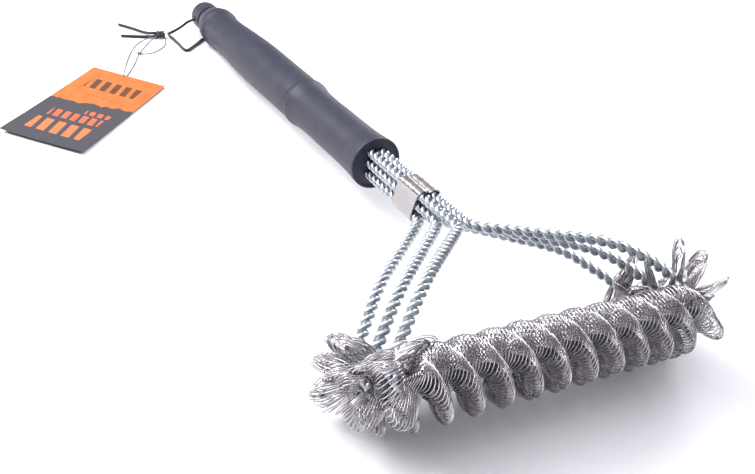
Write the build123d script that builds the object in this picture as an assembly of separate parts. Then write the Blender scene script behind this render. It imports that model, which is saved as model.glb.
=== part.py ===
from build123d import *
import math
import os

# Bristle-free grill cleaning brush, lying on a table. All sizes are millimetres.
# Brush frame, used up to place(): x across the head, y from the handle's front face back
# along its axis, z up out of the frames. Table frame, after place(): +Z up, z = 0 the table,
# the head at -Y, and the origin under the middle of the rigid brush's bounding box.

# ---- driving dimensions -------------------------------------------------------------------
HANDLE_LENGTH = 266.0          # front face to the centre of the rear dome
FACE_R = 14.8                  # flared front rim
COLLAR_R, COLLAR_Y = 15.1, 90.0    # raised ring where the front and rear grips meet
LIP_R, LIP_Y = 14.0, 236.0     # rear shoulder, which rests on the table
NECK_R, NECK_Y = 10.4, 255.0   # rear neck
GROOVE_R, GROOVE_Y = 8.4, 250.0    # groove in front of the neck
BORE_R, FIT = 10.6, 0.1        # inside of both grips, and the clearance of what goes in
SPIGOT_IN = 20.0               # rear grip's spigot inside the front grip
CAP_PLUG = 35.0
PLATE_R, PLATE_T, PLATE_RECESS = 13.2, 3.0, 0.6
LACE_HOLE_R, LACE_HOLE_Y = 1.8, 261.0

WIRE = 2.62                    # galvanised core wire
WIRE_APART = 1.54              # each wire of a pair to the pair's centre line
WIRE_LEAN = 15.0               # forward lean of each pair, halfway square to stem and arm
PAIR_BORE = 2.95               # hole that takes a pair
COLUMN, ROW = 3.2, 6.2         # stems: half the column distance, and the row distance
STEM_ROOT = 34.0               # stem length held inside the handle
BEND_R, ARCH_R, CORNER_R = 14.0, 60.0, 7.0

# frame: stem length, top of the arm's arch (x, -y, z), corner of arm and roll, row height
FRAMES = {
    "top": (84.0, (55.0, 133.0, 16.0), (89.0, 163.0, -8.5), ROW),
    "middle": (68.0, (57.0, 120.0, 4.0), (92.0, 153.0, -20.0), 0.0),
    "low": (53.0, (52.0, 98.0, -7.0), (92.0, 141.0, -29.6), -ROW),
}
NAMES = list(FRAMES)

LOBE_R, LOBE_HALF = 15.6, 7.8  # coil: lobe tip and half the lobe's width
ROLL_TURN = 28.2               # roll length for one full turn of the lobes
LOBE_STEPS = 8                 # steps in one turn
COIL_GAP = 0.2                 # each coil to the plane where two rolls meet
HUB_R, HUB_ARM = 5.6, 12.0     # coil packed round a corner, and how far it runs up the arm
PETALS, PETAL_END, PETAL_HALF, PETAL_T = 4, 18.5, 7.0, 3.2

CLAMP_T, CLAMP_DIP = 0.8, 1.2     # sheet, and its dip between the columns
CLAMP_LOW = (29.8, 47.4)          # where the band starts and ends under the stems
CLAMP_HIGH = (34.2, 53.0)         # and over them
REST_TILT = 4.70               # the rear shoulder and the low roll both touch the table

LACE, STRING = 2.0, 0.7        # cord diameters


def turned(*profile):
    """Solid of revolution about the handle's axis from (y, radius) points."""
    outline = Polyline(*[(r, y) for y, r in profile], close=True)
    return revolve(make_face(outline), Axis.Y)


def drilled(body, y_from, y_to):
    """Six holes along the handle for the stems."""
    for row in (-ROW, 0.0, ROW):
        for x in (-COLUMN, COLUMN):
            hole = Plane((x, y_from, row), z_dir=(0, 1, 0)) * Circle(PAIR_BORE)
            body -= extrude(hole, y_to - y_from)
    return body


# ---- handle -------------------------------------------------------------------------------
def grip_front():
    pocket = PLATE_R + FIT
    return turned(
        (0, pocket), (0, FACE_R), (2, FACE_R), (12, 13.9), (25, 13.5), (72, 13.6), (81, 14.2),
        (86, COLLAR_R), (COLLAR_Y, COLLAR_R), (COLLAR_Y, BORE_R), (4, BORE_R), (4, pocket),
    )


def grip_rear():
    start, inner = COLLAR_Y + 0.6, BORE_R - FIT
    return turned(
        (start, inner), (start, 14.0), (start + 2, 14.3), (117, 14.5), (140, 14.7),
        (167, 14.7), (178, 14.3), (200, 13.4), (224, 12.8), (230, 13.2), (LIP_Y - 1, LIP_R),
        (LIP_Y + 3, LIP_R), (245, 12.9), (GROOVE_Y, 11.7), (GROOVE_Y, BORE_R),
        (start + 8, BORE_R), (start + 8, inner - 2), (start - SPIGOT_IN, inner - 2),
        (start - SPIGOT_IN, inner),
    )


def end_cap():
    plug = BORE_R - FIT
    cap = turned(
        (GROOVE_Y - CAP_PLUG, 0), (GROOVE_Y - CAP_PLUG, plug), (GROOVE_Y, plug),
        (GROOVE_Y, GROOVE_R), (NECK_Y - 1, GROOVE_R), (NECK_Y, NECK_R), (HANDLE_LENGTH, NECK_R),
        (HANDLE_LENGTH, 0),
    )
    cap += Pos(0, HANDLE_LENGTH, 0) * Sphere(NECK_R)
    hole = Plane((-20, LACE_HOLE_Y, 0), z_dir=(1, 0, 0)) * Circle(LACE_HOLE_R)
    return cap - extrude(hole, 40)


def front_plate():
    back = PLATE_RECESS + PLATE_T
    plate = turned((PLATE_RECESS, 0), (PLATE_RECESS, PLATE_R), (back, PLATE_R), (back, 0))
    return drilled(plate, 0, back + 1)


def stem_block():
    front, back, radius = PLATE_RECESS + PLATE_T + 0.4, STEM_ROOT + 2, BORE_R - FIT
    block = turned((front, 0), (front, radius), (back, radius), (back, 0))
    return drilled(block, front - 1, back + 1)


# ---- wire frames --------------------------------------------------------------------------
def core_wire(stem, arch, corner, row, side):
    """One wire of a pair: stem, bend, arm, corner, roll, and back the same way."""
    (ax, ay, az), (cx, cy, cz) = arch, corner
    lean = side * WIRE_APART * math.sin(math.radians(WIRE_LEAN))
    lift = side * WIRE_APART * math.cos(math.radians(WIRE_LEAN))
    line = [(COLUMN, STEM_ROOT, row), (COLUMN, -stem, row), (ax, -ay, az), (cx, -cy, cz)]
    half = [(x, y - lean, z + lift) for x, y, z in line]
    other = [(-x, y, z) for x, y, z in reversed(half)]
    radii = [BEND_R, ARCH_R, CORNER_R]
    path = FilletPolyline(*half, *other, radius=radii + radii[::-1])
    section = Plane(origin=half[0], z_dir=(0, -1, 0)) * Circle(WIRE / 2)
    return sweep(section, path=path)


def stem_clamp():
    """Sheet band round the six stems, dipped between the two columns."""
    def outline(grow):
        radius = PAIR_BORE + grow
        shape = Rectangle(2 * COLUMN, 2 * (ROW + PAIR_BORE - CLAMP_DIP + grow))
        for x in (-COLUMN, COLUMN):
            shape += Pos(x, 0) * SlotCenterToCenter(2 * ROW, 2 * radius, rotation=90)
        return shape

    high = ROW + PAIR_BORE + CLAMP_T
    corners = [(-CLAMP_LOW[0], -high), (-CLAMP_HIGH[0], high), (-CLAMP_HIGH[1], high), (-CLAMP_LOW[1], -high)]
    side = extrude(Plane.YZ * Polygon(*corners, align=None), 2 * COLUMN + high, both=True)
    band = extrude(Plane.XZ.offset(CLAMP_LOW[0] - 5) * (outline(CLAMP_T) - outline(0)), 40)
    return band & side


# ---- coil springs -------------------------------------------------------------------------
def cut_lobes(shape, name):
    """Trim a coil's section at the planes where it presses on the next rolls."""
    at = NAMES.index(name)
    _, cy, cz = FRAMES[name][2]
    for other in NAMES[max(0, at - 1) : at] + NAMES[at + 1 : at + 2]:
        _, oy, oz = FRAMES[other][2]
        dy, dz = cy - oy, oz - cz
        apart, turn = math.hypot(dy, dz), math.degrees(math.atan2(dz, dy))
        keep = Pos(apart / 2 - COIL_GAP - 40, 0) * Rectangle(80, 80)
        shape = shape & (Rot(0, 0, turn) * keep)
    return shape


def own_side(name):
    """Boxes that hold a coil's corner loops on its side of the same planes."""
    at = NAMES.index(name)
    _, cy, cz = FRAMES[name][2]
    boxes = []
    for other in NAMES[max(0, at - 1) : at] + NAMES[at + 1 : at + 2]:
        _, oy, oz = FRAMES[other][2]
        dy, dz = cy - oy, oz - cz
        apart, turn = math.hypot(dy, dz), math.degrees(math.atan2(dz, dy))
        inside = Pos(0, apart / 2 - COIL_GAP - 40, 0) * Box(300, 80, 80)
        boxes.append(Pos(0, -cy, cz) * Rot(turn, 0, 0) * inside)
    return boxes


def coil(name, stem, arch, corner, row):
    """Coil spring on one frame: a stepped two-lobed screw, and a fan of loops at each corner."""
    (ax, ay, az), (cx, cy, cz) = arch, corner
    step = ROLL_TURN / LOBE_STEPS
    count = 2 * int((cx - 16.4) / step) + 1
    start = -count * step / 2
    pieces = []
    for k in range(count):
        lobe = Rot(0, 0, (k - count / 2 + 0.5) * 360 / LOBE_STEPS) * Ellipse(LOBE_R, LOBE_HALF)
        section = cut_lobes(lobe - Circle(PAIR_BORE), name)
        pieces.append(extrude(Plane((start + k * step, -cy, cz), (0, 1, 0), (1, 0, 0)) * section, step))
    for side in (-1, 1):
        roll_end, knee = Vector(-side * start, -cy, cz), Vector(side * cx, -cy, cz)
        up = (Vector(side * ax, -ay, az) - knee).normalized()
        inward = Vector(-side, 0, 0)
        half_turn = math.radians(up.get_angle(inward)) / 2
        tangent_length = CORNER_R / math.tan(half_turn)
        hub_path = FilletPolyline(roll_end, knee, knee + up * (tangent_length + HUB_ARM), radius=CORNER_R)
        ring = Circle(HUB_R) - Circle(PAIR_BORE)
        pieces.append(sweep(Plane(origin=roll_end, z_dir=-inward) * ring, path=hub_path))
        middle = (up + inward).normalized()
        centre = knee + middle * (CORNER_R / math.sin(half_turn))
        normal = inward.cross(up).normalized()
        sweep_angle = math.pi - 2 * half_turn
        for k in range(PETALS):
            swing = math.degrees(sweep_angle) * ((k + 0.5) / PETALS - 0.5) * 1.1
            out = (-middle).rotate(Axis((0, 0, 0), normal), swing)
            plane = Plane(origin=centre + out * CORNER_R, x_dir=out, z_dir=normal.cross(out))
            leaf = Pos((3.5 + PETAL_END) / 2, 0) * Ellipse((PETAL_END - 3.5) / 2, PETAL_HALF)
            petal = extrude(plane * leaf, PETAL_T / 2, both=True)
            for box in own_side(name):
                petal = petal & box
            pieces.append(petal)
    return pieces[0].fuse(*pieces[1:])


# ---- cords and card -----------------------------------------------------------------------
def tube(name, points, diameter):
    """Round cord along straight runs joined by arcs that suit the runs beside them."""
    ends = [Vector(*p) for p in points]
    radii = []
    for before, here, after in zip(ends, ends[1:], ends[2:]):
        turn = math.radians((here - before).get_angle(after - here))
        shorter = min((here - before).length, (after - here).length)
        radii.append(0.45 * shorter / math.tan(turn / 2))
    path = FilletPolyline(*ends, radius=radii)
    section = Plane(origin=ends[0], z_dir=ends[1] - ends[0]) * Circle(diameter / 2)
    solid = sweep(section, path=path)
    share = solid.volume / (math.pi * diameter**2 / 4 * path.length)
    print(name, "length", round(path.length, 1), "share", round(share, 4),
          "radii", [round(r, 1) for r in radii])
    return solid


def capsule(start, end, radius):
    start, end = Vector(*start), Vector(*end)
    barrel = Plane(origin=start, z_dir=end - start) * Circle(radius)
    body = extrude(barrel, (end - start).length)
    for point in (start, end):
        body += Pos(*point) * Sphere(radius)
    return body


# Cord routes in the table frame. The lace runs from its knot through the neck's cross hole,
# round under the neck in the groove, and back to the knot by a sharp fold.
HOLE = (212.1, 12.3)           # y and z of the neck's cross hole on the table
LACE_ROUTE = [
    (-32.0, 207.6, 2.6), (-22.5, 209.8, 5.4), (-13.2, *HOLE),
    (13.2, *HOLE), (16.4, 210.6, 9.6), (15.6, 207.4, 4.4), (9.5, 204.2, 1.4),
    (0.0, 202.9, 1.1), (-8.0, 200.2, 1.1), (-13.6, 193.0, 1.1), (-20.6, 186.0, 1.1),
    (-25.6, 180.6, 1.1), (-28.4, 182.2, 1.1), (-28.6, 193.4, 1.2), (-31.4, 205.6, 2.2),
]
KNOT = [(-33.0, 206.9, 2.7), (-42.5, 207.6, 2.7)]
KNOT_R = 2.6
TAILS = {
    "a": [(-34.8, 206.2, 1.9), (-42.4, 206.3, 1.8), (-49.0, 207.8, 1.1), (-56.5, 209.2, 1.1),
          (-65.3, 211.0, 1.1)],
    "b": [(-34.8, 207.8, 4.1), (-41.6, 208.6, 3.2), (-46.6, 214.2, 1.3), (-52.5, 222.8, 1.1),
          (-61.3, 232.0, 1.1)],
}
# The string goes from the lace's knot to the card's eyelet, down through it and back under the
# card to its own small knot, which two more strands tie to the lace.
STRING_KNOT = [(-62.6, 180.0, 1.2), (-59.6, 178.8, 1.2)]
STRINGS = {
    "loop": [(-43.4, 204.6, 3.6), (-49.6, 203.6, 0.8), (-56.4, 198.6, 0.6), (-62.8, 189.6, 0.6),
             (-69.8, 175.6, 0.6), (-75.6, 161.6, 0.7), (-79.6, 151.0, 1.9), (-82.6, 142.0, 2.0),
             (-82.7, 141.4, 0.45), (-78.0, 147.6, 0.45), (-73.4, 155.6, 0.5), (-67.6, 166.2, 0.6),
             (-62.0, 178.6, 1.0)],
    "upper": [(-60.6, 180.0, 1.0), (-54.4, 190.8, 0.6), (-46.6, 201.0, 0.7), (-41.2, 204.2, 3.2)],
    "side": [(-59.6, 178.2, 1.0), (-53.8, 178.4, 0.6), (-44.8, 184.8, 0.6), (-36.8, 194.4, 0.6),
             (-35.4, 203.4, 1.9)],
}
CARD_W, CARD_L, CARD_T = 51.0, 105.0, 0.6
CARD_CORNER, CARD_TURN = (-97.3, 160.0, 0.9), -43.1
EYELET, EYELET_R = (23.5, -4.0), 1.6


def card():
    """Swing card with an eyelet hole near its top edge, lying on the string below it."""
    outline = Pos(CARD_W / 2, -CARD_L / 2) * Rectangle(CARD_W, CARD_L)
    outline -= Pos(*EYELET) * Circle(EYELET_R)
    return Pos(*CARD_CORNER) * Rot(0, 0, CARD_TURN) * extrude(outline, CARD_T)


# ---- the whole brush ----------------------------------------------------------------------
def brush():
    nodes = {
        "grip_front": grip_front(), "grip_rear": grip_rear(), "end_cap": end_cap(),
        "front_plate": front_plate(), "stem_block": stem_block(), "stem_clamp": stem_clamp(),
    }
    for name, frame in FRAMES.items():
        nodes[f"core_wire_{name}_a"] = core_wire(*frame, 1)
        nodes[f"core_wire_{name}_b"] = core_wire(*frame, -1)
        nodes[f"coil_{name}"] = coil(name, *frame)
    return nodes


def place(nodes):
    """Tilt the brush to rest on the table, with the origin under the middle of its box."""
    tilted = {name: Rot(-REST_TILT, 0, 0) * shape for name, shape in nodes.items()}
    boxes = [shape.bounding_box() for shape in tilted.values()]
    low_y, high_y = min(b.min.Y for b in boxes), max(b.max.Y for b in boxes)
    low_z = min(b.min.Z for b in boxes)
    shift = Pos(0, -(low_y + high_y) / 2, -low_z)
    hole = shift * Rot(-REST_TILT, 0, 0) * Pos(0, LACE_HOLE_Y, 0)
    print("length", round(high_y - low_y, 1), "cross hole at", hole.position)
    for name in ("grip_rear", "coil_low"):
        print(name, "lowest", round((shift * tilted[name]).bounding_box().min.Z, 2))
    return {name: shift * shape for name, shape in tilted.items()}


def cords():
    cord = {"lace": tube("lace", LACE_ROUTE, LACE)}
    for name, route in TAILS.items():
        cord[f"lace_tail_{name}"] = tube(f"lace_tail_{name}", route, LACE)
    for name, route in STRINGS.items():
        cord[f"tag_string_{name}"] = tube(f"tag_string_{name}", route, STRING)
    knots = {"lace_knot": capsule(*KNOT, KNOT_R), "tag_string_knot": capsule(*STRING_KNOT, 1.0)}
    for name in knots:
        for solid in cord.values():
            knots[name] -= solid
    return {**cord, **knots, "tag_card": card()}


os.makedirs("parts", exist_ok=True)
for node, solid in {**place(brush()), **cords()}.items():
    export_step(solid, f"parts/{node}.step")
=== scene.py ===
import math

import bpy
import numpy as np
from mathutils import Matrix, Vector


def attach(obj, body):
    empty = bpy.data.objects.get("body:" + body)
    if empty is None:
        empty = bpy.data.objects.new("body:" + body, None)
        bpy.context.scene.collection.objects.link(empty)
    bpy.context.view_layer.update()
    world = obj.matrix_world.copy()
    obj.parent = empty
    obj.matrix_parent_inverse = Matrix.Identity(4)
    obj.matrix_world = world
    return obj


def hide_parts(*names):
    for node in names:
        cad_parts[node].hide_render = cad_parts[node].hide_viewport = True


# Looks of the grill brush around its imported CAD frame. Shapes are worked out in the brush frame
# in millimetres (x across the head, y back along the handle, z up out of the wire frames), and
# on_table() turns them into the row frame in metres.

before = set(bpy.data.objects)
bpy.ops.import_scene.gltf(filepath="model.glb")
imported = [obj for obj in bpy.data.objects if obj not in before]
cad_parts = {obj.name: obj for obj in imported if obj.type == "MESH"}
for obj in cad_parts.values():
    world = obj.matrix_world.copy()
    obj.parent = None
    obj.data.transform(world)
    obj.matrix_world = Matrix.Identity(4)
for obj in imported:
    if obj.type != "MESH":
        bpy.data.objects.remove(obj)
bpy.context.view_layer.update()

MM = 0.001
TILT = math.radians(4.70)
SHIFT = np.array([0.0, -48.045, 33.559])
RANDOM = np.random.default_rng(7)


def on_table(points):
    """Brush frame in millimetres to the row frame in metres."""
    p = np.atleast_2d(np.asarray(points, float))
    y = p[:, 1] * math.cos(TILT) + p[:, 2] * math.sin(TILT)
    z = -p[:, 1] * math.sin(TILT) + p[:, 2] * math.cos(TILT)
    return (np.stack([p[:, 0], y, z], 1) + SHIFT) * MM


# ---- camera -------------------------------------------------------------------------------
LENS, EYE = 43.03, (-0.23785, -0.40551, 0.26382)
AZIMUTH, PITCH, ROLL = (math.radians(a) for a in (-34.764, 32.746, 11.274))


def make_camera():
    level_reach = math.cos(PITCH)
    ahead = Vector((-math.sin(AZIMUTH) * level_reach, math.cos(AZIMUTH) * level_reach, -math.sin(PITCH)))
    level = Vector((math.cos(AZIMUTH), math.sin(AZIMUTH), 0.0))
    above = level.cross(ahead)
    right = math.cos(ROLL) * level + math.sin(ROLL) * above
    up = -math.sin(ROLL) * level + math.cos(ROLL) * above
    camera = bpy.data.objects.new("camera", bpy.data.cameras.new("camera"))
    camera.data.lens = LENS
    camera.data.sensor_width = 36.0
    camera.data.clip_start = 0.01
    turn = Matrix((right, up, -ahead)).transposed().to_4x4()
    camera.matrix_world = Matrix.Translation(EYE) @ turn
    bpy.context.scene.collection.objects.link(camera)
    bpy.context.scene.camera = camera


make_camera()


# ---- materials ----------------------------------------------------------------------------
def shader(name, color, roughness, metallic=0.0, **inputs):
    """New material with a Principled shader; returns (material, nodes, links, principled)."""
    material = bpy.data.materials.new(name)
    material.use_nodes = True
    nodes, links = material.node_tree.nodes, material.node_tree.links
    principled = nodes["Principled BSDF"]
    principled.inputs["Base Color"].default_value = (*color, 1.0)
    principled.inputs["Roughness"].default_value = roughness
    principled.inputs["Metallic"].default_value = metallic
    for key, value in inputs.items():
        principled.inputs[key.replace("_", " ")].default_value = value
    return material, nodes, links, principled


def noise(nodes, links, scale, detail=3.0, stretch=None):
    coordinates = nodes.new("ShaderNodeTexCoord")
    texture = nodes.new("ShaderNodeTexNoise")
    texture.inputs["Scale"].default_value = scale
    texture.inputs["Detail"].default_value = detail
    source = coordinates.outputs["Object"]
    if stretch:
        mapping = nodes.new("ShaderNodeMapping")
        mapping.inputs["Scale"].default_value = stretch
        links.new(source, mapping.inputs["Vector"])
        source = mapping.outputs["Vector"]
    links.new(source, texture.inputs["Vector"])
    return texture.outputs["Fac"]


def ramp(nodes, links, source, stops):
    """Colour ramp; stops are (position, colour), a grey colour may be one number."""
    node = nodes.new("ShaderNodeValToRGB")
    elements = node.color_ramp.elements
    while len(elements) < len(stops):
        elements.new(0.5)
    for element, (position, color) in zip(elements, stops):
        element.position = position
        element.color = (*color, 1.0) if isinstance(color, tuple) else (color, color, color, 1.0)
    links.new(source, node.inputs["Fac"])
    return node.outputs["Color"]


def bump(nodes, links, principled, height, distance, strength=1.0):
    node = nodes.new("ShaderNodeBump")
    node.inputs["Distance"].default_value = distance
    node.inputs["Strength"].default_value = strength
    links.new(height, node.inputs["Height"])
    links.new(node.outputs["Normal"], principled.inputs["Normal"])


def grip_material():
    material, nodes, links, principled = shader("grip_plastic", (0.06, 0.065, 0.08), 0.5)
    tone = noise(nodes, links, 90.0, 4.0)
    shade = ramp(nodes, links, tone, [(0.3, (0.016, 0.017, 0.034)), (0.7, (0.027, 0.028, 0.050))])
    links.new(shade, principled.inputs["Base Color"])
    grain = noise(nodes, links, 1700.0, 2.0)
    links.new(ramp(nodes, links, grain, [(0.3, 0.42), (0.7, 0.6)]), principled.inputs["Roughness"])
    bump(nodes, links, principled, grain, 0.00008, 0.8)
    return material


def plate_material():
    material, nodes, links, principled = shader("plate_plastic", (0.012, 0.013, 0.03), 0.45)
    grain = noise(nodes, links, 900.0, 2.0)
    links.new(ramp(nodes, links, grain, [(0.3, 0.4), (0.7, 0.52)]), principled.inputs["Roughness"])
    bump(nodes, links, principled, grain, 0.00003, 0.5)
    return material


def metal_material(name, dark, light, roughness, scale, relief=0.00002):
    material, nodes, links, principled = shader(name, light, roughness, 1.0)
    tone = noise(nodes, links, scale, 4.0)
    links.new(ramp(nodes, links, tone, [(0.35, dark), (0.65, light)]), principled.inputs["Base Color"])
    fine = noise(nodes, links, scale * 6, 2.0)
    polish = ramp(nodes, links, fine, [(0.3, roughness - 0.06), (0.7, roughness + 0.08)])
    links.new(polish, principled.inputs["Roughness"])
    bump(nodes, links, principled, fine, relief, 0.6)
    return material


def lace_material():
    material, nodes, links, principled = shader("lace_weave", (0.012, 0.013, 0.018), 0.85)
    principled.inputs["Sheen Weight"].default_value = 0.3
    weave = noise(nodes, links, 1400.0, 2.0)
    shade = ramp(nodes, links, weave, [(0.35, (0.008, 0.009, 0.013)), (0.7, (0.035, 0.038, 0.05))])
    links.new(shade, principled.inputs["Base Color"])
    bump(nodes, links, principled, weave, 0.0002)
    return material


def string_material():
    material, nodes, links, principled = shader("string_fibre", (0.11, 0.10, 0.11), 0.8)
    fibre = noise(nodes, links, 2500.0, 2.0)
    shade = ramp(nodes, links, fibre, [(0.3, (0.07, 0.065, 0.07)), (0.7, (0.18, 0.165, 0.17))])
    links.new(shade, principled.inputs["Base Color"])
    bump(nodes, links, principled, fibre, 0.0001)
    return material


GRIP, PLATE = grip_material(), plate_material()
GALVANISED = metal_material("galvanised_wire", (0.43, 0.465, 0.50), (0.59, 0.625, 0.66), 0.34, 260.0)
# near-black wire colour: painted shade, used for the twisted wires where they lie inside the coils
PAINTED_SHADE_WIRE = metal_material("painted_shade_wire", (0.05, 0.05, 0.055), (0.09, 0.09, 0.095), 0.5, 260.0)
STAINLESS = metal_material("stainless_wire", (0.36, 0.345, 0.36), (0.66, 0.63, 0.655), 0.17, 160.0)
POLISHED = metal_material("polished_band", (0.42, 0.40, 0.40), (0.48, 0.455, 0.455), 0.26, 60.0, 0.000003)
LACE, STRING = lace_material(), string_material()


# ---- cords, whose routes are the part's own, in table millimetres --------------------------
LACE_D, STRING_D = 2.0, 0.7
CORDS = {  # name: (material, diameter, length, far end, route)
    "lace": (LACE, LACE_D, 135.4, "knot", [
        (-32.0, 207.6, 2.6), (-22.5, 209.8, 5.4), (-13.2, 212.1, 12.3), (13.2, 212.1, 12.3),
        (16.4, 210.6, 9.6), (15.6, 207.4, 4.4), (9.5, 204.2, 1.4), (0.0, 202.9, 1.1),
        (-8.0, 200.2, 1.1), (-13.6, 193.0, 1.1), (-20.6, 186.0, 1.1), (-25.6, 180.6, 1.1),
        (-28.4, 182.2, 1.1), (-28.6, 193.4, 1.2), (-31.4, 205.6, 2.2)]),
    "lace_tail_a": (LACE, LACE_D, 31.0, "bare", [
        (-34.8, 206.2, 1.9), (-42.4, 206.3, 1.8), (-49.0, 207.8, 1.1), (-56.5, 209.2, 1.1),
        (-65.3, 211.0, 1.1)]),
    "lace_tail_b": (LACE, LACE_D, 37.5, "bare", [
        (-34.8, 207.8, 4.1), (-41.6, 208.6, 3.2), (-46.6, 214.2, 1.3), (-52.5, 222.8, 1.1),
        (-61.3, 232.0, 1.1)]),
    "tag_string_loop": (STRING, STRING_D, 121.4, "knot", [
        (-43.4, 204.6, 3.6), (-49.6, 203.6, 0.8), (-56.4, 198.6, 0.6), (-62.8, 189.6, 0.6),
        (-69.8, 175.6, 0.6), (-75.6, 161.6, 0.7), (-79.6, 151.0, 1.9), (-82.6, 142.0, 2.0),
        (-82.7, 141.4, 0.45), (-78.0, 147.6, 0.45), (-73.4, 155.6, 0.5), (-67.6, 166.2, 0.6),
        (-62.0, 178.6, 1.0)]),
    "tag_string_upper": (STRING, STRING_D, 31.9, "knot", [
        (-60.6, 180.0, 1.0), (-54.4, 190.8, 0.6), (-46.6, 201.0, 0.7), (-41.2, 204.2, 3.2)]),
    "tag_string_side": (STRING, STRING_D, 38.1, "knot", [
        (-59.6, 178.2, 1.0), (-53.8, 178.4, 0.6), (-44.8, 184.8, 0.6), (-36.8, 194.4, 0.6),
        (-35.4, 203.4, 1.9)]),
}


def cord_curve(name, route, diameter, material):
    data = bpy.data.curves.new(name, "CURVE")
    data.dimensions = "3D"
    data.resolution_u = 10
    spline = data.splines.new("NURBS")
    spline.points.add(len(route) - 1)
    for point, at in zip(spline.points, route):
        point.co = (*(c * MM for c in at), 1.0)
    spline.order_u = 3
    spline.use_endpoint_u = True
    data.bevel_depth = diameter / 2 * MM
    data.bevel_resolution = 4
    data.use_fill_caps = True
    data.materials.append(material)
    piece = bpy.data.objects.new(name + "_cord", data)
    bpy.context.scene.collection.objects.link(piece)
    return piece


cord_pieces = {
    name: cord_curve(name, route, diameter, material)
    for name, (material, diameter, length, far_end, route) in CORDS.items()
}


# ---- mesh helpers -------------------------------------------------------------------------
def mesh_piece(name, vertices, faces, material, stands_for=(), smooth=True):
    data = bpy.data.meshes.new(name)
    data.from_pydata([tuple(v) for v in vertices], [], [tuple(f) for f in faces])
    data.materials.append(material)
    if smooth:
        data.shade_smooth()
    data.update()
    piece = bpy.data.objects.new(name, data)
    bpy.context.scene.collection.objects.link(piece)
    if stands_for:
        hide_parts(*stands_for)
    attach(piece, "root")
    return piece


def unit(v):
    return v / np.maximum(np.linalg.norm(v, axis=-1, keepdims=True), 1e-12)


def sweep(line, normal, radius, sides):
    """Vertices and faces of a round tube along line, closed at both ends. normal is any vector
    at each point that isn't along the line; radius is one number or one for each point."""
    tangent = unit(np.gradient(line, axis=0))
    normal = unit(normal - (normal * tangent).sum(1, keepdims=True) * tangent)
    side = np.cross(tangent, normal)
    angle = np.linspace(0, 2 * math.pi, sides, endpoint=False)
    radius = np.broadcast_to(np.asarray(radius, float), len(line))[:, None, None]
    ring = np.cos(angle)[None, :, None] * normal[:, None] + np.sin(angle)[None, :, None] * side[:, None]
    vertices = (line[:, None] + radius * ring).reshape(-1, 3)
    count = len(line)
    row = np.arange(count - 1)[:, None] * sides
    here, after = np.arange(sides)[None], (np.arange(sides)[None] + 1) % sides
    quads = np.stack([row + here, row + after, row + sides + after, row + sides + here], -1)
    faces = quads.reshape(-1, 4).tolist()
    faces.append(list(range(sides))[::-1])
    faces.append([(count - 1) * sides + k for k in range(sides)])
    return vertices, faces


def lathe(profile, steps):
    """Closed solid of revolution about the handle's axis from (y, radius) points; a radius of
    0 is a pole."""
    vertices, rings, faces = [], [], []
    for y, r in profile:
        if r < 1e-6:
            rings.append([len(vertices)] * steps)
            vertices.append((0.0, y, 0.0))
        else:
            rings.append(list(range(len(vertices), len(vertices) + steps)))
            for k in range(steps):
                a = 2 * math.pi * k / steps
                vertices.append((r * math.cos(a), y, r * math.sin(a)))
    for near, far in zip(rings, rings[1:] + rings[:1]):
        for k in range(steps):
            ring = [near[k], near[(k + 1) % steps], far[(k + 1) % steps], far[k]]
            face = [v for i, v in enumerate(ring) if v not in ring[:i]]
            if len(face) > 2:
                faces.append(face)
    return on_table(vertices), faces


# ---- wire frames --------------------------------------------------------------------------
WIRE, COLUMN, ROW, STEM_ROOT = 2.62, 3.2, 6.2, 34.0
BEND_R, ARCH_R, CORNER_R = 14.0, 60.0, 7.0
FRAMES = {  # stem length, top of the arm's arch (x, -y, z), corner (x, -y, z), row height
    "top": (84.0, (55.0, 133.0, 16.0), (89.0, 163.0, -8.5), ROW),
    "middle": (68.0, (57.0, 120.0, 4.0), (92.0, 153.0, -20.0), 0.0),
    "low": (53.0, (52.0, 98.0, -7.0), (92.0, 141.0, -29.6), -ROW),
}
NAMES = list(FRAMES)
ARM_TWIST, ROLL_TWIST = 9.4, 28.2      # length for one turn of the pair, on the arms and in the roll
PHASE = {"top": 0.0, "middle": 90.0, "low": 0.0}
COIL_ENDS = {"top": (94.0, 99.0), "middle": (101.0, 107.0), "low": (106.0, 112.0)}   # left, right
STEP = 0.5                             # spacing of the frames' centre lines
COVERED = 12.0                         # length before a corner where the tight spring ends
WIRE_SIDES, WIRE_STEP, WIRE_GAP = 12, 0.45, 0.28


def rounded(points, radii):
    """Dense line through points with an arc of each radius at the inner ones."""
    points = [np.array(p, float) for p in points]
    line = [points[0]]
    for before, here, after, radius in zip(points, points[1:], points[2:], radii):
        to, on = unit(here - before), unit(after - here)
        turn = math.acos(float(np.clip(to @ on, -1, 1)))
        cut = radius * math.tan(turn / 2)
        centre = here - to * cut + unit(on - to * (to @ on)) * radius
        for k in range(33):
            a = turn * k / 32
            across = unit((here - to * cut) - centre)
            line.append(centre + radius * (across * math.cos(a) + to * math.sin(a)))
    line.append(points[-1])
    line = np.array(line)
    at = np.concatenate([[0], np.cumsum(np.linalg.norm(np.diff(line, axis=0), axis=1))])
    keep = np.concatenate([[True], np.diff(at) > 1e-9])
    line, at = line[keep], at[keep]
    even = np.linspace(0, at[-1], int(at[-1] / STEP) + 1)
    return np.stack([np.interp(even, at, line[:, i]) for i in range(3)], 1), even


def running_mean(values, width):
    """Mean over width places, with the end values held."""
    return np.convolve(np.pad(values, width // 2, "edge"), np.ones(width) / width, "valid")


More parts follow.
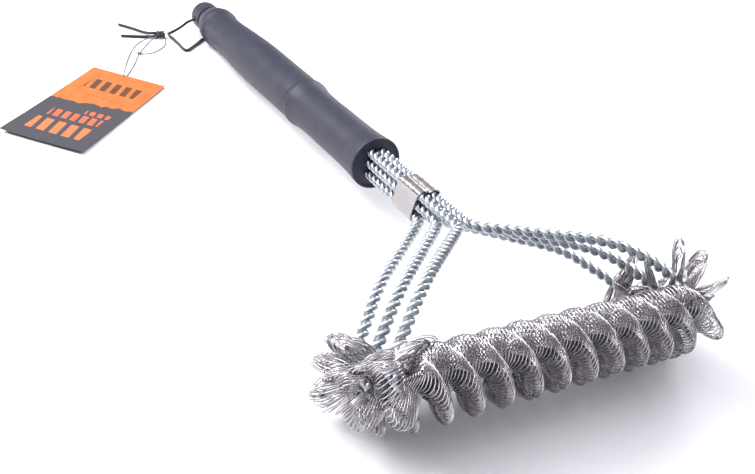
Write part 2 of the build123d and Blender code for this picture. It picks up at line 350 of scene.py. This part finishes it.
class Frame:
    """Centre line of one wire frame, measured from the middle of its roll."""

    def __init__(self, name):
        stem, (ax, ay, az), (cx, cy, cz), row = FRAMES[name]
        half = [(COLUMN, STEM_ROOT, row), (COLUMN, -stem, row), (ax, -ay, az), (cx, -cy, cz)]
        other = [(-x, y, z) for x, y, z in reversed(half)]
        radii = [BEND_R, ARCH_R, CORNER_R]
        self.line, at = rounded(half + other, radii + radii[::-1])
        self.line = self.line[::-1]
        self.at = at - at[-1] / 2
        tangent = unit(np.gradient(self.line, axis=0))
        self.tangent = unit(np.stack([running_mean(tangent[:, i], 5) for i in range(3)], 1))
        self.plane = unit(np.array([0.0, az - cz, -(cy - ay)]))
        self.corner = cx + (CORNER_R * 0.2)
        self.centre_curve = np.gradient(self.tangent, self.at, axis=0)
        self.left_end, self.right_end = COIL_ENDS[name]
        self.half_roll = cx + 19.0         # only compared with the other frames' own
        # turn of the pair, with its phase at the middle of the roll
        in_roll = np.abs(self.at) < self.corner - COVERED
        rate = running_mean(np.where(in_roll, 1 / ROLL_TWIST, 1 / ARM_TWIST), 17)
        angle = np.cumsum(rate) * STEP * 2 * math.pi
        middle = np.interp(0.0, self.at, angle)
        self.angle = angle - middle + math.radians(PHASE[name])
        self.phase = math.radians(PHASE[name])

    def sample(self, values, at):
        return np.stack([np.interp(at, self.at, values[:, i]) for i in range(values.shape[1])], 1)


frames = {name: Frame(name) for name in NAMES}


def lobe_axes(f, at, angle):
    """At places along a frame: centre, tangent, and the two axes turned by angle."""
    centre = f.sample(f.line, at)
    tangent = unit(f.sample(f.tangent, at))
    flat = unit(f.plane - (tangent @ f.plane)[:, None] * tangent)
    side = np.cross(tangent, flat)
    c, s = np.cos(angle)[:, None], np.sin(angle)[:, None]
    return centre, tangent, c * flat + s * side, c * side - s * flat


for name, f in frames.items():
    at = np.arange(f.at[0], f.at[-1], WIRE_STEP)
    centre, tangent, lobe, across = lobe_axes(f, at, np.interp(at, f.at, f.angle))
    apart = WIRE / 2 + WIRE_GAP / 2
    for side, sign in (("a", 1), ("b", -1)):
        vertices, faces = sweep(centre + sign * apart * across, across, WIRE / 2, WIRE_SIDES)
        wire = mesh_piece(f"twisted_wire_{name}_{side}", on_table(vertices), faces, GALVANISED,
                          (f"core_wire_{name}_{side}",))
        # the part under the spring gets a near-black material: painted shade for the shadow the coils cast
        # on the wires there
        wire.data.materials.append(PAINTED_SHADE_WIRE)
        under = np.flatnonzero(np.abs(at) < f.corner - COVERED)
        for k in range(under[0] * WIRE_SIDES, under[-1] * WIRE_SIDES):
            wire.data.polygons[k].material_index = 1


# ---- coil springs -------------------------------------------------------------------------
COIL_WIRE, COIL_PITCH = 0.50, 0.72     # spring wire, and roll length for one loop
LOBE_R, LOBE_POWER, WAIST = 15.6, 2.2, 3.1
LOOP_POINTS, PINCH = 34, 6             # points in a loop, and how tightly it closes on the wires
GATHER_FROM, GATHER_OVER = 9.0, 5.0    # length before a corner where leaves start, and to be whole
NESTED, DRAWN_IN = 0.55, 0.85          # most a leaf's loops are shortened, and drawn to one plane
PRESS_FROM, PRESS = 0.66, 0.94         # share of the way to the next roll left free, and the pressing
INSIDE_ROOM = 0.62                     # share of a loop lost on the inside of a corner
UNEVEN_TURN, UNEVEN_REACH, UNEVEN_PITCH, UNEVEN_LEAF = 0.012, 0.008, 0.12, 0.10
SPRING_SIDES, TABLE_GAP = 6, 0.05
CORNER_PITCH = {"left": 0.48, "right": 0.34}
GATHER, REACH = {"left": 0.75, "right": 1.0}, {"left": 0.10, "right": 0.24}
LEAVES = {  # round the corners: place along the frame, and the way the leaf points
    "top": [(-91, (11, -3, 1)), (-85, (-14, 2, 4)), (-78, (-9, -8, -13)), (-71, (2, -10, -15)),
            (86, (16, 0, 5)), (92, (10, 4, 14)), (98, (2, 5, 17))],
    "middle": [(-98, (-8, 4, 7)), (-91, (-14, 2, 4)), (-82, (-13, -4, -6)),
               (86, (12, -5, -9)), (95, (10, 2, 4)), (104, (-3, 4, 10))],
    "low": [(-103, (-8, 3, 6)), (-98, (-13, 3, 4)), (-88, (-15, 0, 2)), (-80, (-9, -6, -10)),
            (88, (12, -5, -9)), (98, (10, 0, 5)), (109, (7, 3, 9))],
}


def coil(name):
    """Centre line of one flattened spring, pinched by the pair of wires and turning with it."""
    f = frames[name]
    place = NAMES.index(name)
    begin = f.corner - GATHER_FROM
    starts = [-f.left_end]
    while starts[-1] < f.right_end:
        here = starts[-1]
        pitch = COIL_PITCH if abs(here) < begin else CORNER_PITCH["right" if here > 0 else "left"]
        starts.append(here + pitch)
    loops = len(starts) - 1
    count = loops * LOOP_POINTS + 1
    u = np.arange(count) / LOOP_POINTS
    at = np.interp(u, np.arange(loops + 1), starts)
    jitter = RANDOM.normal(0, 1, (3, loops + 2))
    wobble = [np.interp(u, np.arange(loops + 2), j) for j in jitter]
    nested = np.interp(u, np.arange(loops + 2), RANDOM.random(loops + 2))
    beyond = np.clip((np.abs(at) - begin) / GATHER_OVER, 0, 1)
    gather = beyond * np.where(at > 0, GATHER["right"], GATHER["left"])
    angle = 2 * math.pi * at / ROLL_TWIST + f.phase + UNEVEN_TURN * wobble[0]
    centre, tangent, lobe, across = lobe_axes(f, at, angle)
    # round the corners the loops gather in leaves, each of which lies in one plane
    places = np.array([leaf[0] for leaf in LEAVES[name]], float)
    ways = unit(np.array([leaf[1] for leaf in LEAVES[name]], float))
    nearest = np.abs(at[:, None] - places[None]).argmin(1)
    leaf_centre, leaf_tangent, _, _ = lobe_axes(f, places[nearest], np.zeros(count))
    leaf_across = unit(np.cross(leaf_tangent, ways[nearest]))
    leaf_lobe = unit(ways[nearest] + UNEVEN_LEAF * wobble[0][:, None] * leaf_across)
    flip = np.sign((leaf_lobe * lobe).sum(1, keepdims=True))
    flip = np.where(beyond[:, None] < 0.99, flip, 1.0)
    mix = gather[:, None]
    lobe = unit(lobe * (1 - mix) + leaf_lobe * flip * mix)
    across = unit(across * (1 - mix) + leaf_across * flip * mix)
    phi = 2 * math.pi * u
    stretch = np.where(at > 0, REACH["right"], REACH["left"])
    reach = LOBE_R * (1 + UNEVEN_REACH * wobble[1] - NESTED * gather * nested**1.5 + stretch * beyond)
    r = reach * np.abs(np.cos(phi)) ** (LOBE_POWER - 0.3 * gather) + WAIST * np.abs(np.sin(phi)) ** PINCH
    offset = (r * np.cos(phi))[:, None] * lobe + (r * np.sin(phi))[:, None] * across
    drawn_in = gather * DRAWN_IN * np.clip(r / LOBE_R, 0, 1) ** 1.5
    centre = centre + (leaf_centre - centre) * drawn_in[:, None]
    # the inside of a corner has less room
    bend = f.sample(f.centre_curve, at)
    inward = unit(bend) * np.clip(np.linalg.norm(bend, axis=1) * CORNER_R, 0, 1)[:, None]
    toward = np.clip((offset * inward).sum(1), 0, None)
    offset -= inward * (toward * INSIDE_ROOM)[:, None]
    points = centre + offset + tangent * (UNEVEN_PITCH * wobble[2] * (r / LOBE_R))[:, None]
    # the next rolls press it flat
    for other in NAMES[max(0, place - 1):place] + NAMES[place + 1:place + 2]:
        g = frames[other]
        matching = at * (g.half_roll / f.half_roll)
        to = g.sample(g.line, matching) - centre
        gap = np.linalg.norm(to, axis=1)
        to = unit(to)
        depth = ((points - centre) * to).sum(1)
        over = depth - gap * PRESS_FROM
        points = points - to * np.where(over > 0, over * PRESS, 0)[:, None]
    # and the table from below
    heights = on_table(points)[:, 2] / MM
    points[:, 2] += np.clip(COIL_WIRE / 2 + TABLE_GAP - heights, 0, None)
    return f, at, points, tangent


for name in NAMES:
    f, at, points, tangent = coil(name)
    parts = {"left": at < -f.corner + 8, "roll": np.abs(at) <= f.corner - 8, "right": at > f.corner - 8}
    for part, chosen in parts.items():
        index = np.flatnonzero(chosen)
        index = np.append(index, min(index[-1] + 1, len(at) - 1)) if part != "right" else index
        vertices, faces = sweep(points[index], tangent[index], COIL_WIRE / 2, SPRING_SIDES)
        mesh_piece(f"spring_{name}_{part}", on_table(vertices), faces, STAINLESS,
                   (f"coil_{name}",) if part == "roll" else ())


# ---- handle -------------------------------------------------------------------------------
STEPS = 96


def softened(profile, radius=0.35, points=3):
    """Profile with each inner corner cut by a small curve."""
    out = [profile[0]]
    for before, here, after in zip(profile, profile[1:], profile[2:]):
        b, h, a = (np.array(p, float) for p in (before, here, after))
        cut = min(radius, np.linalg.norm(h - b) * 0.45, np.linalg.norm(a - h) * 0.45)
        p, q = h + unit(b - h) * cut, h + unit(a - h) * cut
        for k in range(points + 1):
            t = k / points
            out.append(tuple((1 - t) ** 2 * p + 2 * t * (1 - t) * h + t ** 2 * q))
    out.append(profile[-1])
    return out


def curved(keys, count):
    """Smooth (y, r) line through keys."""
    y, r = np.array(keys, float).T
    at = np.linspace(y[0], y[-1], count)
    slope = np.gradient(r, y)
    out = []
    for value in at:
        k = min(np.searchsorted(y, value, side="right") - 1, len(y) - 2)
        h = y[k + 1] - y[k]
        t = (value - y[k]) / h
        out.append((value, (2 * t**3 - 3 * t**2 + 1) * r[k] + (t**3 - 2 * t**2 + t) * h * slope[k]
                    + (3 * t**2 - 2 * t**3) * r[k + 1] + (t**3 - t**2) * h * slope[k + 1]))
    return out


# (y, radius) from the front face, round the outside and back along the bore
FRONT_GRIP = curved([
    (0.6, 14.8), (3, 14.7), (12, 13.95), (25, 13.55), (48, 13.5), (72, 13.6), (80, 14.1), (84.5, 14.8)], 40)
REAR_GRIP = curved([
    (91.6, 14.15), (95, 14.3), (117, 14.5), (140, 14.7), (160, 14.75), (178, 14.35), (200, 13.45),
    (220, 12.85), (228, 12.95), (233.4, 13.3)], 60)
FRONT = [(0, 13.3), (0, 14.6), *FRONT_GRIP, (86, 15.1), (89.4, 15.1), (90, 14.6), (90, 10.6),
         (4, 10.6), (4, 13.3)]
REAR = [(91.3, 10.5), (91.3, 14.0), *REAR_GRIP, (234.2, 14.0), (238.6, 14.1), (241.5, 13.5),
        (245, 12.7), (249.4, 11.7), (250, 11.2), (250, 10.6), (98.6, 10.6), (98.6, 8.5),
        (70.6, 8.5), (70.6, 10.5)]

for piece_name, profile, node in (("handle_front", FRONT, "grip_front"), ("handle_rear", REAR, "grip_rear")):
    vertices, faces = lathe(softened(profile), STEPS)
    mesh_piece(piece_name, vertices, faces, GRIP, (node,))
for node, material in (("end_cap", GRIP), ("front_plate", PLATE), ("stem_block", PLATE),
                       ("stem_clamp", POLISHED)):
    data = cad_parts[node].data
    data.materials.clear()
    data.materials.append(material)

# ---- lace and tag -------------------------------------------------------------------------
def helix(start, end, radius, turns, count):
    start, end = np.array(start, float), np.array(end, float)
    axis = unit(end - start)
    one = unit(np.cross(axis, (0, 0, 1)))
    two = np.cross(axis, one)
    t = np.linspace(0, 1, count)[:, None]
    a = 2 * math.pi * turns * t
    return start + (end - start) * t + radius * (np.cos(a) * one + np.sin(a) * two), axis


line, axis = helix((-34.4, 206.9, 2.75), (-41.6, 207.5, 2.75), 1.65, 2.6, 90)
vertices, faces = sweep(line * MM, np.broadcast_to(axis, line.shape), 0.95 * MM, 12)
lace_knot = mesh_piece("lace_knot_wraps", vertices, faces, LACE, ("lace_knot",))
line, axis = helix((-62.4, 179.9, 1.3), (-59.8, 178.9, 1.3), 0.62, 2.5, 60)
vertices, faces = sweep(line * MM, np.broadcast_to(axis, line.shape), 0.36 * MM, 8)
string_knot = mesh_piece("string_knot_wraps", vertices, faces, STRING, ("tag_string_knot",))

CARD_W, CARD_L, CARD_T = 51.0, 105.0, 0.6
CARD_AT, CARD_TURN = (-97.3, 160.0, 0.9), math.radians(-43.1)
EYELET, EYELET_R = (23.5, -4.0), 1.6
BARS = [  # lower and upper edge, left and right edge, pitch, and colour, as shares of the card
    (0.72, 0.86, 0.16, 0.84, 0.135, (0.10, 0.045, 0.02)),
    (0.625, 0.645, 0.30, 0.70, 0.06, (0.55, 0.09, 0.03)),
    (0.40, 0.45, 0.55, 0.86, 0.10, (0.80, 0.13, 0.05)),
    (0.29, 0.38, 0.20, 0.84, 0.11, (0.82, 0.13, 0.05)),
    (0.10, 0.25, 0.16, 0.84, 0.155, (0.86, 0.17, 0.06)),
]


def card_material():
    """Printed card: orange over dark grey with a ragged border, and rows of plain bars."""
    material, nodes, links, principled = shader("printed_card", (0.60, 0.145, 0.03), 0.45)
    place = nodes.new("ShaderNodeUVMap")
    place.uv_map = "card"
    split = nodes.new("ShaderNodeSeparateXYZ")
    links.new(place.outputs["UV"], split.inputs["Vector"])

    def math_node(kind, a, b=None, clamp=False):
        node = nodes.new("ShaderNodeMath")
        node.operation = kind
        node.use_clamp = clamp
        for socket, value in zip(node.inputs, (a, b)):
            if value is None:
                continue
            if isinstance(value, (int, float)):
                socket.default_value = value
            else:
                links.new(value, socket)
        return node.outputs["Value"]

    def band(value, low, high, soft=0.004):
        rise = math_node("MULTIPLY", math_node("SUBTRACT", value, low), 1 / soft, True)
        fall = math_node("MULTIPLY", math_node("SUBTRACT", high, value), 1 / soft, True)
        return math_node("MULTIPLY", rise, fall)

    def mix(factor, a, b):
        node = nodes.new("ShaderNodeMix")
        node.data_type = "RGBA"
        links.new(factor, node.inputs["Factor"])
        for socket, value in ((node.inputs[6], a), (node.inputs[7], b)):
            if isinstance(value, tuple):
                socket.default_value = (*value, 1.0)
            else:
                links.new(value, socket)
        return node.outputs[2]

    u, v = split.outputs["X"], split.outputs["Y"]
    ragged = nodes.new("ShaderNodeTexNoise")
    ragged.inputs["Scale"].default_value = 9.0
    ragged.inputs["Detail"].default_value = 3.0
    links.new(place.outputs["UV"], ragged.inputs["Vector"])
    edge = math_node("ADD", v, math_node("MULTIPLY", ragged.outputs["Fac"], 0.10))
    edge = math_node("ADD", edge, math_node("MULTIPLY", u, -0.07))
    upper = math_node("MULTIPLY", math_node("SUBTRACT", edge, 0.545), 140.0, True)
    warm = ramp(nodes, links, ragged.outputs["Fac"], [
        (0.3, (0.56, 0.122, 0.026)), (0.7, (0.66, 0.168, 0.037))])
    color = mix(upper, (0.055, 0.055, 0.065), warm)

    def bars(color, low, high, left, right, pitch, tint):
        slant = math_node("ADD", u, math_node("MULTIPLY", v, 0.25))
        wave = math_node("FRACT", math_node("MULTIPLY", slant, 1 / pitch))
        mask = math_node("MULTIPLY", band(wave, 0.12, 0.78, 0.06), band(v, low, high))
        mask = math_node("MULTIPLY", mask, band(u, left, right))
        return mix(mask, color, tint)

    for row in BARS:
        color = bars(color, *row)
    links.new(color, principled.inputs["Base Color"])
    fibre = noise(nodes, links, 900.0, 2.0)
    bump(nodes, links, principled, fibre, 0.00004, 0.5)
    return material


def swing_card():
    """Thin card with an eyelet hole, its two far corners curled up a little."""
    columns, rows = 26, 52
    us = np.linspace(0, CARD_W, columns + 1)
    vs = np.linspace(0, -CARD_L, rows + 1)
    hole = np.array(EYELET)
    top = np.array([(u, v) for v in vs for u in us])
    away = top - hole
    distance = np.linalg.norm(away, axis=1)
    near = distance < EYELET_R * 1.35
    ring = hole + unit(away) * EYELET_R
    top[near] = ring[near]

    def grid(i, j):
        return j * (columns + 1) + i

    faces = []
    for j in range(rows):
        for i in range(columns):
            face = [grid(i, j), grid(i, j + 1), grid(i + 1, j + 1), grid(i + 1, j)]
            if near[face].all():
                continue
            faces.append(face)
    used = sorted({k for face in faces for k in face})
    renumber = {k: n for n, k in enumerate(used)}
    top = top[used]
    faces = [[renumber[k] for k in face] for face in faces]
    count = len(top)
    curl = 0.9 * (np.clip(-top[:, 1] / CARD_L - 0.35, 0, 1) / 0.65) ** 2
    curl = curl + 0.5 * (np.abs(top[:, 0] / CARD_W - 0.5) * 2) ** 3 * (-top[:, 1] / CARD_L)
    edges = {}
    for face in faces:
        for a, b in zip(face, face[1:] + face[:1]):
            edges[(a, b)] = edges.get((a, b), 0) + 1
    rim = [(a, b) for a, b in edges if (b, a) not in edges]
    all_faces = faces + [[k + count for k in face[::-1]] for face in faces]
    all_faces += [[b, a, a + count, b + count] for a, b in rim]
    c, s = math.cos(CARD_TURN), math.sin(CARD_TURN)
    vertices = []
    for height in (CARD_T, 0.0):
        x = CARD_AT[0] + top[:, 0] * c - top[:, 1] * s
        y = CARD_AT[1] + top[:, 0] * s + top[:, 1] * c
        vertices.append(np.stack([x, y, CARD_AT[2] + height + curl], 1))
    vertices = np.concatenate(vertices) * MM
    card = mesh_piece("swing_card", vertices, all_faces, card_material(), ("tag_card",), False)
    layer = card.data.uv_layers.new(name="card")
    flat = np.concatenate([top, top])
    for loop in card.data.loops:
        x, y = flat[loop.vertex_index]
        layer.data[loop.index].uv = (x / CARD_W, 1 + y / CARD_L)


swing_card()

for name, (material, diameter, length, far_end, route) in CORDS.items():
    piece = cord_pieces[name]
    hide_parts(name)
    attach(piece, "root")

# ---- stage --------------------------------------------------------------------------------
def floor():
    data = bpy.data.meshes.new("floor")
    half = 12.0
    corners = [(-half, -half, 0), (half, -half, 0), (half, half, 0), (-half, half, 0)]
    data.from_pydata(corners, [], [(0, 1, 2, 3)])
    material, nodes, links, principled = shader("floor_paper", (0.84, 0.84, 0.865), 0.8)
    principled.inputs["Specular IOR Level"].default_value = 0.2
    data.materials.append(material)
    stage = bpy.data.objects.new("floor", data)
    bpy.context.scene.collection.objects.link(stage)


def area_light(name, at, towards, size, power, color=(1.0, 1.0, 1.0)):
    data = bpy.data.lights.new(name, "AREA")
    data.shape = "RECTANGLE"
    data.size, data.size_y = size
    data.energy = power
    data.color = color
    lamp = bpy.data.objects.new(name, data)
    lamp.location = at
    lamp.rotation_euler = (Vector(towards) - Vector(at)).to_track_quat("-Z", "Y").to_euler()
    bpy.context.scene.collection.objects.link(lamp)


floor()
area_light("key", (-0.80, 0.55, 0.85), (0.0, -0.10, 0.0), (0.7, 0.7), 22.0, (1.0, 0.985, 0.96))
area_light("top", (-0.55, -0.05, 1.45), (0.0, -0.05, 0.0), (1.3, 1.3), 13.0)
area_light("side", (0.85, 0.60, 0.60), (0.0, 0.0, 0.02), (0.5, 0.5), 9.0)
world = bpy.data.worlds.new("studio")
world.use_nodes = True
nodes, links = world.node_tree.nodes, world.node_tree.links
direction = nodes.new("ShaderNodeTexCoord").outputs["Generated"]
split = nodes.new("ShaderNodeSeparateXYZ")
links.new(direction, split.inputs["Vector"])
sky = ramp(nodes, links, split.outputs["Z"], [
    (0.0, (0.80, 0.80, 0.84)), (0.05, (0.60, 0.60, 0.64)), (0.12, (0.20, 0.20, 0.23)),
    (0.38, (0.40, 0.405, 0.47)), (0.8, (0.92, 0.93, 1.0))])
links.new(sky, nodes["Background"].inputs["Color"])
nodes["Background"].inputs["Strength"].default_value = 0.80
bpy.context.scene.world = world
bpy.context.scene.view_settings.view_transform = "Standard"
